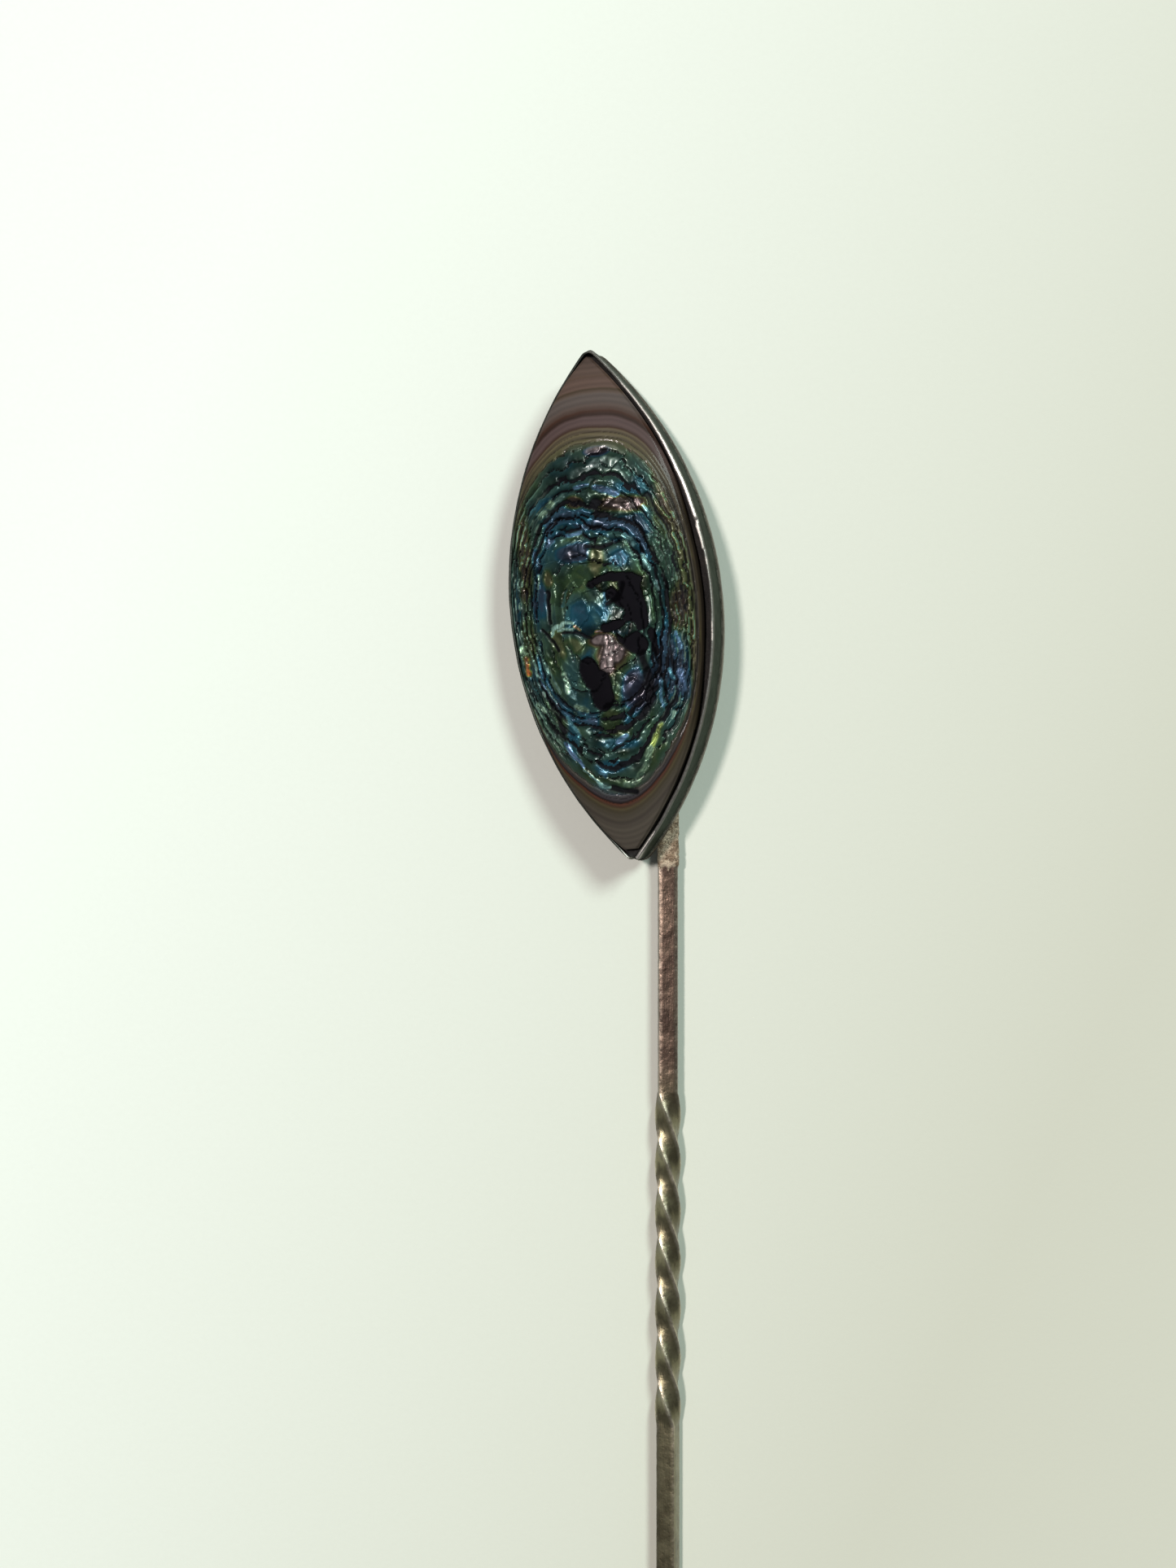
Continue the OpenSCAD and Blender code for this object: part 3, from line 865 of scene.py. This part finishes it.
def ramp(tree, fac, stops):
    """A colour ramp through stops of (place, colour as tone takes it)."""
    node = tree.nodes.new("ShaderNodeValToRGB")
    bar = node.color_ramp
    while len(bar.elements) < len(stops):
        bar.elements.new(0.5)
    for element, (place, colour) in zip(bar.elements, stops):
        element.position = place
        element.color = tone(*colour)
    tree.links.new(fac, node.inputs[0])
    return node.outputs[0]


def blend_colours(tree, fac, first, second, how="MIX"):
    """First colour, going to the second as fac goes to 1. Each is an output or a colour."""
    node = tree.nodes.new("ShaderNodeMix")
    node.data_type = "RGBA"
    node.blend_type = how
    for value, socket in ((fac, node.inputs[0]), (first, node.inputs[6]), (second, node.inputs[7])):
        if isinstance(value, (tuple, float, int)):
            socket.default_value = value
        else:
            tree.links.new(value, socket)
    return node.outputs[2]


def maths(tree, how, first, second=0.0, clamp=False):
    """One sum on two values, each an output or a number."""
    node = tree.nodes.new("ShaderNodeMath")
    node.operation = how
    node.use_clamp = clamp
    for value, socket in ((first, node.inputs[0]), (second, node.inputs[1])):
        if isinstance(value, (float, int)):
            socket.default_value = value
        else:
            tree.links.new(value, socket)
    return node.outputs[0]


def times(tree, first, second, clamp=False):
    """First times second."""
    return maths(tree, "MULTIPLY", first, second, clamp)


def plus(tree, first, second, clamp=False):
    """First plus second."""
    return maths(tree, "ADD", first, second, clamp)


def minus(tree, first, second, clamp=False):
    """First less second."""
    return maths(tree, "SUBTRACT", first, second, clamp)


def field(tree, name):
    """A value stored on the piece's points."""
    node = tree.nodes.new("ShaderNodeAttribute")
    node.attribute_name = name
    return node.outputs["Fac"]


def spots(tree):
    """The piece's own coordinates, in metres."""
    return tree.nodes.new("ShaderNodeTexCoord").outputs["Object"]


def new_group(name, inputs, outputs):
    """An empty node group with float inputs (name, value) and outputs (name, kind)."""
    tree = bpy.data.node_groups.new(name, "ShaderNodeTree")
    for label, value in inputs:
        socket = tree.interface.new_socket(label, in_out="INPUT", socket_type="NodeSocketFloat")
        socket.default_value = value
    for label, kind in outputs:
        tree.interface.new_socket(label, in_out="OUTPUT", socket_type=kind)
    return tree, tree.nodes.new("NodeGroupInput"), tree.nodes.new("NodeGroupOutput")


def use_group(tree, group, **values):
    """The group placed in a material, with its own values."""
    node = tree.nodes.new("ShaderNodeGroup")
    node.node_tree = group
    for name, value in values.items():
        socket = node.inputs[name.replace("_", " ")]
        if isinstance(value, (float, int)):
            socket.default_value = value
        else:
            tree.links.new(value, socket)
    return node


def new_material(name):
    """A material with its Principled shader."""
    material = bpy.data.materials.new(name)
    material.use_nodes = True
    tree = material.node_tree
    return material, tree, tree.nodes["Principled BSDF"]


# ---------------------------------------------------------------- shared effects
def make_tarnish_group():
    """Blotches of tarnish: a soft mask, and a finer mottling."""
    tree, given, result = new_group(
        "tarnish",
        (("Size", 1.0), ("Cover", 0.5), ("Softness", 0.15)),
        (("Mask", "NodeSocketFloat"), ("Mottle", "NodeSocketFloat")),
    )
    place = spots(tree)
    scale = maths(tree, "DIVIDE", 1000.0, given.outputs["Size"])
    big = add(tree, "ShaderNodeTexNoise", Detail=6.0, Roughness=0.62)
    join(tree, place, big, "Vector")
    join(tree, scale, big, "Scale")
    low = minus(tree, given.outputs["Cover"], given.outputs["Softness"])
    high = plus(tree, given.outputs["Cover"], given.outputs["Softness"])
    spread = tree.nodes.new("ShaderNodeMapRange")
    spread.interpolation_type = "SMOOTHSTEP"
    tree.links.new(big.outputs["Fac"], spread.inputs["Value"])
    tree.links.new(low, spread.inputs["From Min"])
    tree.links.new(high, spread.inputs["From Max"])
    small = add(tree, "ShaderNodeTexNoise", Detail=4.0, Roughness=0.7)
    join(tree, place, small, "Vector")
    join(tree, times(tree, scale, 4.3), small, "Scale")
    tree.links.new(spread.outputs["Result"], result.inputs["Mask"])
    tree.links.new(small.outputs["Fac"], result.inputs["Mottle"])
    return tree


def make_grain_group():
    """Fine pits and scratches in metal, as a height."""
    tree, given, result = new_group(
        "metal grain",
        (("Size", 0.2), ("Pits", 0.5), ("Scratches", 0.3)),
        (("Height", "NodeSocketFloat"), ("Pit mask", "NodeSocketFloat")),
    )
    place = spots(tree)
    scale = maths(tree, "DIVIDE", 1000.0, given.outputs["Size"])
    grain = add(tree, "ShaderNodeTexNoise", Detail=5.0, Roughness=0.6)
    join(tree, place, grain, "Vector")
    join(tree, scale, grain, "Scale")
    pits = tree.nodes.new("ShaderNodeTexVoronoi")
    join(tree, place, pits, "Vector")
    join(tree, scale, pits, "Scale")
    pit = minus(tree, 1.0, times(tree, pits.outputs["Distance"], 3.2), clamp=True)
    stretch = tree.nodes.new("ShaderNodeMapping")
    stretch.inputs["Scale"].default_value = (5.0, 0.35, 5.0)
    stretch.inputs["Rotation"].default_value = (0.0, 0.0, 0.12)
    join(tree, place, stretch, "Vector")
    lines = add(tree, "ShaderNodeTexNoise", Detail=3.0, Roughness=0.7)
    join(tree, stretch.outputs[0], lines, "Vector")
    join(tree, scale, lines, "Scale")
    height = minus(tree, grain.outputs["Fac"], times(tree, pit, given.outputs["Pits"]))
    scored = times(tree, lines.outputs["Fac"], given.outputs["Scratches"])
    tree.links.new(plus(tree, height, scored), result.inputs["Height"])
    tree.links.new(pit, result.inputs["Pit mask"])
    return tree


TARNISH = make_tarnish_group()
GRAIN = make_grain_group()


def bump_from(tree, shader, height, depth, strength=1.0):
    """Raises the surface by the height, to that depth in millimetres."""
    bump = tree.nodes.new("ShaderNodeBump")
    bump.inputs["Strength"].default_value = strength
    bump.inputs["Distance"].default_value = depth * MM
    tree.links.new(height, bump.inputs["Height"])
    tree.links.new(bump.outputs["Normal"], shader.inputs["Normal"])


# ---------------------------------------------------------------- materials
def shell_material():
    """Abalone: banded brown ground tips round broken blue, green and violet pearl, with painted glints."""
    material, tree, shader = new_material("abalone shell")
    hue, light = field(tree, "hue"), field(tree, "light")
    dark, black = field(tree, "dark"), field(tree, "black")
    painted_glint, core, lines = field(tree, "painted_glint"), field(tree, "core"), field(tree, "growth")
    tip = field(tree, "tip")

    fleck = add(tree, "ShaderNodeTexNoise", Scale=1500.0, Detail=4.0, Roughness=0.55)
    join(tree, spots(tree), fleck, "Vector")
    drift = times(tree, minus(tree, fleck.outputs["Fac"], 0.5), 0.14)
    pearl = ramp(
        tree,
        plus(tree, hue, drift),
        (
            (0.00, (54, 44, 54)),
            (0.14, (44, 46, 60)),
            (0.26, (50, 64, 84)),
            (0.35, (62, 84, 106)),
            (0.42, (34, 88, 108)),
            (0.50, (54, 88, 86)),
            (0.58, (66, 96, 84)),
            (0.66, (60, 86, 56)),
            (0.76, (88, 92, 62)),
            (0.84, (80, 72, 54)),
            (0.90, (66, 56, 46)),
            (0.95, (70, 62, 62)),
            (1.00, (140, 126, 126)),
        ),
    )
    brightness = times(tree, light, plus(tree, fleck.outputs["Fac"], 0.4))
    pearl = blend_colours(tree, 1.0, pearl, brightness, "MULTIPLY")

    wobble = add(tree, "ShaderNodeTexNoise", Scale=420.0, Detail=4.0, Roughness=0.55)
    join(tree, spots(tree), wobble, "Vector")
    sway = times(tree, minus(tree, wobble.outputs["Fac"], 0.5), 0.03)
    swayed = plus(tree, lines, sway)
    place = minus(tree, swayed, 0.88)
    place = times(tree, place, 2.0, clamp=True)
    rosy = ramp(
        tree,
        place,
        (
            (0.00, (66, 62, 42)),
            (0.10, (88, 84, 60)),
            (0.13, (64, 58, 42)),
            (0.17, (90, 82, 60)),
            (0.20, (70, 60, 46)),
            (0.225, (86, 76, 58)),
            (0.245, (56, 36, 26)),
            (0.275, (78, 62, 60)),
            (0.34, (80, 64, 63)),
            (0.37, (46, 30, 24)),
            (0.41, (56, 34, 24)),
            (0.435, (76, 60, 53)),
            (0.50, (82, 73, 69)),
            (0.575, (84, 75, 71)),
            (0.61, (80, 66, 56)),
            (0.63, (64, 52, 38)),
            (0.65, (86, 68, 60)),
            (0.74, (88, 70, 62)),
            (0.76, (76, 60, 50)),
            (0.80, (84, 68, 60)),
            (1.00, (62, 50, 44)),
        ),
    )
    plain = ramp(
        tree,
        place,
        (
            (0.00, (56, 54, 40)),
            (0.14, (40, 36, 28)),
            (0.20, (62, 54, 40)),
            (0.25, (36, 30, 24)),
            (0.34, (56, 48, 34)),
            (0.40, (30, 26, 20)),
            (0.55, (58, 50, 36)),
            (1.00, (30, 26, 20)),
        ),
    )
    lower = ramp(
        tree,
        place,
        (
            (0.00, (54, 60, 62)),
            (0.10, (58, 54, 52)),
            (0.14, (46, 40, 44)),
            (0.165, (22, 14, 12)),
            (0.185, (76, 40, 24)),
            (0.215, (58, 42, 28)),
            (0.24, (68, 60, 40)),
            (0.28, (54, 48, 36)),
            (0.32, (66, 60, 50)),
            (0.40, (58, 52, 46)),
            (0.44, (70, 64, 56)),
            (1.00, (62, 56, 50)),
        ),
    )
    bands = blend_colours(tree, tip, plain, rosy)
    bands = blend_colours(tree, field(tree, "foot"), bands, lower)
    stripe = maths(tree, "SINE", times(tree, swayed, 210.0))
    stripe = plus(tree, 0.94, times(tree, stripe, 0.10))
    bands = blend_colours(tree, 1.0, bands, stripe, "MULTIPLY")
    colour = blend_colours(tree, core, bands, pearl)
    colour = blend_colours(tree, times(tree, dark, 0.97), colour, tone(18, 18, 22))
    # The colours of the painted glints, mixed in where they are painted.
    glint_colour = ramp(
        tree,
        hue,
        (
            (0.30, (150, 180, 240)),
            (0.45, (130, 200, 215)),
            (0.55, (185, 225, 205)),
            (0.66, (190, 225, 165)),
            (0.74, (200, 225, 100)),
            (0.87, (225, 130, 70)),
            (1.00, (235, 222, 220)),
        ),
    )
    colour = blend_colours(tree, times(tree, painted_glint, 0.85), colour, glint_colour)
    colour = blend_colours(tree, black, colour, tone(22, 21, 25))
    tree.links.new(colour, shader.inputs["Base Color"])

    clear = minus(tree, 1.0, maths(tree, "MAXIMUM", black, dark), clamp=True)
    pearly = times(tree, core, clear)
    soot = maths(tree, "MAXIMUM", black, times(tree, dark, 0.85))
    sheen = maths(tree, "MAXIMUM", times(tree, pearly, 0.40), soot)
    tree.links.new(sheen, shader.inputs["Metallic"])
    gloss = plus(tree, minus(tree, 0.46, times(tree, core, 0.22)), times(tree, black, 0.4))
    gloss = plus(tree, gloss, times(tree, fleck.outputs["Fac"], 0.10))
    tree.links.new(plus(tree, gloss, times(tree, dark, 0.3)), shader.inputs["Roughness"])
    shader.inputs["IOR"].default_value = 1.5
    shader.inputs["Specular IOR Level"].default_value = 0.15
    tree.links.new(times(tree, clear, 0.10), shader.inputs["Coat Weight"])
    shader.inputs["Coat Roughness"].default_value = 0.12
    bump_from(tree, shader, fleck.outputs["Fac"], 0.02, 0.5)
    return material


def silver_material():
    """Old silver gone dark grey-green, bright where the rim has worn, with a painted highlight on the rim's
    upper right and at the seam's ends.
    """
    material, tree, shader = new_material("tarnished silver")
    blotch = use_group(tree, TARNISH, Size=0.9, Cover=0.52, Softness=0.16)
    grain = use_group(tree, GRAIN, Size=0.16, Pits=0.5, Scratches=0.5)
    skin = blend_colours(tree, blotch.outputs["Mask"], tone(40, 46, 42), tone(66, 72, 66))
    skin = blend_colours(tree, times(tree, blotch.outputs["Mottle"], 0.5), skin, tone(52, 50, 44))
    # The wear field carries the rim's real wear and its painted highlights.
    wear = times(tree, field(tree, "wear"), plus(tree, blotch.outputs["Mottle"], 0.35), clamp=True)
    skin = blend_colours(tree, wear, skin, tone(214, 208, 202))
    skin = blend_colours(tree, times(tree, grain.outputs["Pit mask"], 0.35), skin, tone(30, 28, 26))
    tree.links.new(skin, shader.inputs["Base Color"])
    shader.inputs["Metallic"].default_value = 0.92
    shader.inputs["Specular Tint"].default_value = (0.50, 0.54, 0.50, 1.0)
    rough = minus(tree, 0.46, times(tree, wear, 0.16))
    tree.links.new(plus(tree, rough, times(tree, blotch.outputs["Mottle"], 0.12)), shader.inputs["Roughness"])
    bump_from(tree, shader, grain.outputs["Height"], 0.016, 0.8)
    return material


def plate_material():
    """The back plate's silver: warmer, scratched and duller."""
    material, tree, shader = new_material("plate silver")
    blotch = use_group(tree, TARNISH, Size=2.2, Cover=0.5, Softness=0.12)
    grain = use_group(tree, GRAIN, Size=0.22, Pits=0.4, Scratches=0.9)
    skin = blend_colours(tree, blotch.outputs["Mask"], tone(92, 84, 74), tone(128, 120, 108))
    skin = blend_colours(tree, times(tree, blotch.outputs["Mottle"], 0.45), skin, tone(62, 54, 48))
    tree.links.new(skin, shader.inputs["Base Color"])
    shader.inputs["Metallic"].default_value = 0.9
    tree.links.new(plus(tree, 0.34, times(tree, blotch.outputs["Mottle"], 0.22)), shader.inputs["Roughness"])
    bump_from(tree, shader, grain.outputs["Height"], 0.02, 0.8)
    return material


def solder_material(name, pale, deep):
    """Rough grey solder with a warm bloom."""
    material, tree, shader = new_material(name)
    blotch = use_group(tree, TARNISH, Size=0.55, Cover=0.5, Softness=0.1)
    grain = use_group(tree, GRAIN, Size=0.12, Pits=0.9, Scratches=0.1)
    skin = blend_colours(tree, blotch.outputs["Mask"], deep, pale)
    skin = blend_colours(tree, times(tree, blotch.outputs["Mottle"], 0.5), skin, tone(70, 56, 46))
    tree.links.new(skin, shader.inputs["Base Color"])
    shader.inputs["Metallic"].default_value = 0.55
    tree.links.new(plus(tree, 0.36, times(tree, blotch.outputs["Mottle"], 0.3)), shader.inputs["Roughness"])
    bump_from(tree, shader, grain.outputs["Height"], 0.05, 1.0)
    return material


def cement_material():
    """Black setting cement, dull and lumpy."""
    material, tree, shader = new_material("setting cement")
    blotch = use_group(tree, TARNISH, Size=0.5, Cover=0.55, Softness=0.2)
    skin = blend_colours(tree, blotch.outputs["Mask"], tone(20, 18, 17), tone(40, 36, 32))
    tree.links.new(skin, shader.inputs["Base Color"])
    tree.links.new(plus(tree, 0.55, times(tree, blotch.outputs["Mottle"], 0.4)), shader.inputs["Roughness"])
    bump_from(tree, shader, blotch.outputs["Mottle"], 0.06, 1.0)
    return material


def stem_material():
    """Silver wire gone brown above the grip and olive below, worn pale on its corners."""
    material, tree, shader = new_material("stem silver")
    blotch = use_group(tree, TARNISH, Size=1.3, Cover=0.5, Softness=0.14)
    grain = use_group(tree, GRAIN, Size=0.26, Pits=0.35, Scratches=0.6)
    upper = blend_colours(tree, blotch.outputs["Mask"], tone(82, 66, 57), tone(120, 101, 87))
    lower = blend_colours(tree, blotch.outputs["Mask"], tone(108, 103, 79), tone(142, 137, 108))
    skin = blend_colours(tree, field(tree, "below"), upper, lower)
    skin = blend_colours(tree, times(tree, blotch.outputs["Mottle"], 0.45), skin, tone(58, 46, 42))
    wear = times(tree, minus(tree, blotch.outputs["Mottle"], 0.22), 1.5, clamp=True)
    rubbed = plus(tree, 0.45, times(tree, field(tree, "grip"), 0.9))
    wear = times(tree, times(tree, wear, rubbed), field(tree, "wear"), clamp=True)
    skin = blend_colours(tree, wear, skin, tone(226, 216, 196))
    skin = blend_colours(tree, times(tree, grain.outputs["Pit mask"], 0.25), skin, tone(44, 36, 32))
    tree.links.new(skin, shader.inputs["Base Color"])
    shader.inputs["Metallic"].default_value = 0.85
    rough = plus(tree, 0.20, times(tree, blotch.outputs["Mottle"], 0.22))
    tree.links.new(rough, shader.inputs["Roughness"])
    bump_from(tree, shader, grain.outputs["Height"], 0.016, 0.8)
    return material


def table_material():
    """Pale painted board, with painted uneven light: paler and cooler to the upper left, darker and creamier
    to the lower right.
    """
    material, tree, shader = new_material("pale table")
    place = spots(tree)
    split = tree.nodes.new("ShaderNodeSeparateXYZ")
    tree.links.new(place, split.inputs[0])
    # Painted uneven light: the board is painted paler and cooler towards the upper left, and darker and
    # creamier towards the right and towards the stem's point.
    across = plus(tree, times(tree, split.outputs["X"], 16.0), 0.76)
    nearer = times(tree, split.outputs["Y"], 7.5)
    across = minus(tree, across, nearer, clamp=True)
    colour = ramp(tree, across, ((0.0, (242, 250, 243)), (1.0, (204, 206, 192))))
    grain = add(tree, "ShaderNodeTexNoise", Scale=3200.0, Detail=3.0, Roughness=0.7)
    join(tree, place, grain, "Vector")
    colour = blend_colours(tree, times(tree, grain.outputs["Fac"], 0.10), colour, tone(190, 190, 180))
    tree.links.new(colour, shader.inputs["Base Color"])
    shader.inputs["Roughness"].default_value = 0.85
    shader.inputs["Specular IOR Level"].default_value = 0.25
    bump_from(tree, shader, grain.outputs["Fac"], 0.03, 0.25)
    return material


# ---------------------------------------------------------------- the pin
hand_over(build_plate(), "back_plate", plate_material())
hand_over(build_bezel(), "bezel", silver_material())
hand_over(
    build_bezel_solder(),
    "bezel_solder",
    solder_material("bezel solder", tone(104, 102, 92), tone(66, 66, 58)),
)
hand_over(build_cement(), "cement_bed", cement_material())
hand_over(build_shell(), "shell_cabochon", shell_material())
hand_over(build_stem(), "stem", stem_material())
hand_over(
    build_stem_solder(),
    "stem_solder",
    solder_material("stem solder", tone(206, 188, 164), tone(138, 116, 94)),
)


# ---------------------------------------------------------------- table, light and camera
def build_table():
    """The pale table under the pin."""
    start_clean()
    bpy.ops.mesh.primitive_plane_add(size=3.0, location=(0, 0, -0.00001))
    table = bpy.context.object
    table.name = "table"
    table.data.materials.append(table_material())


HEAD_MIDDLE = Vector((0.0, 0.040, 0.003))


def add_light(name, direction, far, size, power, colour):
    """A soft square lamp that shines at the head from a direction."""
    unit = Vector(direction).normalized()
    start_clean()
    bpy.ops.object.light_add(type="AREA", location=HEAD_MIDDLE + unit * far)
    lamp = bpy.context.object
    lamp.name = name
    lamp.data.shape = "DISK"
    lamp.data.size = size
    lamp.data.energy = power
    lamp.data.color = colour
    lamp.rotation_euler = (-unit).to_track_quat("-Z", "Y").to_euler()


def set_world(colour, strength):
    """Even light from all round."""
    world = bpy.data.worlds.new("studio")
    bpy.context.scene.world = world
    world.use_nodes = True
    sky = world.node_tree.nodes["Background"]
    sky.inputs["Color"].default_value = colour
    sky.inputs["Strength"].default_value = strength


def add_camera():
    """Straight above the pin, turned so that the head is up."""
    start_clean()
    bpy.ops.object.camera_add(location=(-1.37 * MM, 33.38 * MM, 115 * MM), rotation=(0, 0, 0))
    camera = bpy.context.object
    camera.data.sensor_width = 36.0
    camera.data.lens = 52.1
    camera.data.clip_start = 0.005
    bpy.context.scene.camera = camera


build_table()
add_light("warm lamp", (-0.34, 0.15, 1.0), 1.56, 0.135, 15.6, (1.0, 0.90, 0.88))
add_light("cool lamp", (0.42, 0.46, 1.0), 1.65, 0.45, 15.2, (0.86, 1.0, 0.93))
set_world((0.92, 0.97, 1.0, 1.0), 0.11)
add_camera()
bpy.context.scene.view_settings.view_transform = "Standard"
